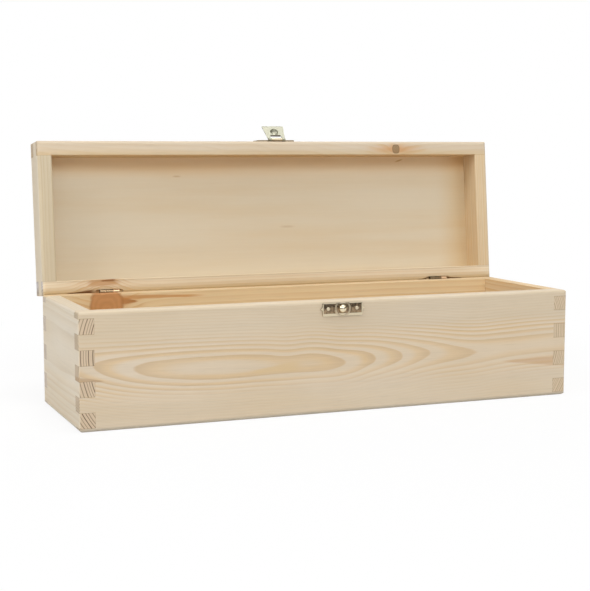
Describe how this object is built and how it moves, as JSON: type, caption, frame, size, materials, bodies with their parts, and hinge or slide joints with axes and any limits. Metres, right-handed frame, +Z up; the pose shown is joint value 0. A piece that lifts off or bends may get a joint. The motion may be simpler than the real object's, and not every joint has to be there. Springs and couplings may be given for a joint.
{
  "type": "wooden wine box",
  "caption": "Long finger-jointed pine box for one bottle, with a plywood-topped lid on small back hinges and a stamped metal clasp whose flap cups over a domed button at the front.",
  "frame": {"origin": "middle of the underside of the base, on the surface the box stands on", "axes": "+X along the box from its left end to its right end, seen from the front; +Y from the front with the clasp to the back with the hinges; +Z up"},
  "size_m": [0.35, 0.1414, 0.1903],
  "materials": {
    "pine": "sanded, untreated",
    "plywood": "sanded, untreated",
    "hinge_steel": "plated, satin",
    "plated_steel": "pale brassy nickel plate with dark recesses"
  },
  "bodies": {
    "base": {"base_front_board": "pine", "base_back_board": "pine", "base_left_board": "pine", "base_right_board": "pine", "base_bottom_panel": "plywood", "left_hinge_base_leaf": "hinge_steel", "left_hinge_pin": "hinge_steel", "right_hinge_base_leaf": "hinge_steel", "right_hinge_pin": "hinge_steel", "catch_plate": "plated_steel", "catch_button": "plated_steel", "catch_nails": "plated_steel"},
    "lid": {"lid_front_rail": "pine", "lid_back_rail": "pine", "lid_left_rail": "pine", "lid_right_rail": "pine", "lid_top_panel": "plywood", "left_hinge_lid_leaf": "hinge_steel", "right_hinge_lid_leaf": "hinge_steel", "clasp_plate": "plated_steel", "clasp_nails": "plated_steel", "clasp_pin": "plated_steel"},
    "clasp_flap": {"clasp_flap": "plated_steel"}
  },
  "joints": [
    {"name": "lid_hinge", "type": "hinge", "parent": "base", "child": "lid", "pos_m": [0, 0.0518, 0.0752], "axis": [1, 0, 0], "range_deg": [0, 95.9]},
    {"name": "clasp_hinge", "type": "hinge", "parent": "lid", "child": "clasp_flap", "pos_m": [0.0013, 0.06471, 0.18063], "axis": [1, 0, 0], "range_deg": [0, 128]}
  ]
}
